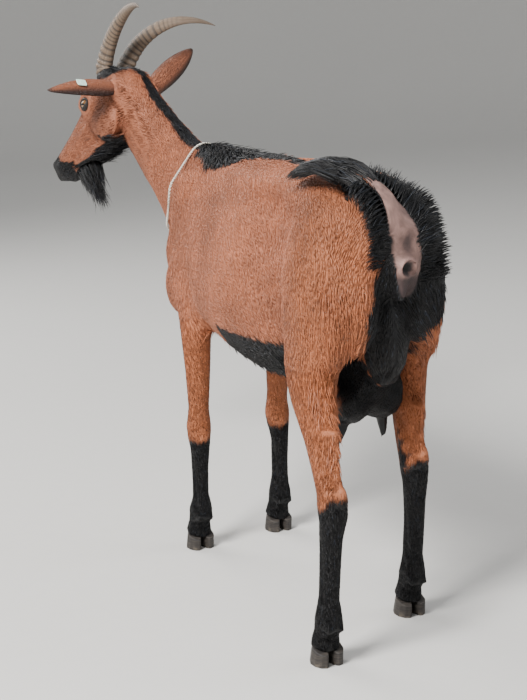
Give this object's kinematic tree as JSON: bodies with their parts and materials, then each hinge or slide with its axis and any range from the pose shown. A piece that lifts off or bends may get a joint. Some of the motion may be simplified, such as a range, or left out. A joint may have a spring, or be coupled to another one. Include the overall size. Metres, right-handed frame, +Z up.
{
  "type": "horned dairy goat",
  "caption": "Life-size horned dairy doe of Alpine type, chestnut coat with black legs, back stripe and udder, standing with her head turned left; cord collar and ear tag.",
  "frame": {"origin": "on the floor, under the middle of the bounding box", "axes": "+Z up; the doe faces -Y and her left side is +X"},
  "size_m": [0.3984, 1.1758, 1.0192],
  "materials": {
    "coat": "short glossy chestnut hair over hide",
    "black_coat": "short to long glossy black hair over hide",
    "horn": "dry ringed horn, smoother at the tips",
    "claw": "dull black hoof horn",
    "eye": "wet amber eye with a level slit pupil",
    "cord": "thin twisted off-white cord",
    "tag": "plain pale mint plastic"
  },
  "bodies": {
    "root": {"head": "coat", "neck": "coat", "trunk": "coat", "tail": "black_coat", "foreleg_left": "coat", "foreleg_right": "coat", "hindleg_left": "coat", "hindleg_right": "coat", "udder": "black_coat", "beard": "black_coat", "ear_left": "coat", "ear_right": "coat", "eye_left": "eye", "eye_right": "eye", "horn_left": "horn", "horn_right": "horn", "collar": "cord", "ear_tag": "tag", "claw_fore_left_inner": "claw", "claw_fore_left_outer": "claw", "claw_fore_right_inner": "claw", "claw_fore_right_outer": "claw", "claw_hind_left_inner": "claw", "claw_hind_left_outer": "claw", "claw_hind_right_inner": "claw", "claw_hind_right_outer": "claw"}
  },
  "joints": []
}
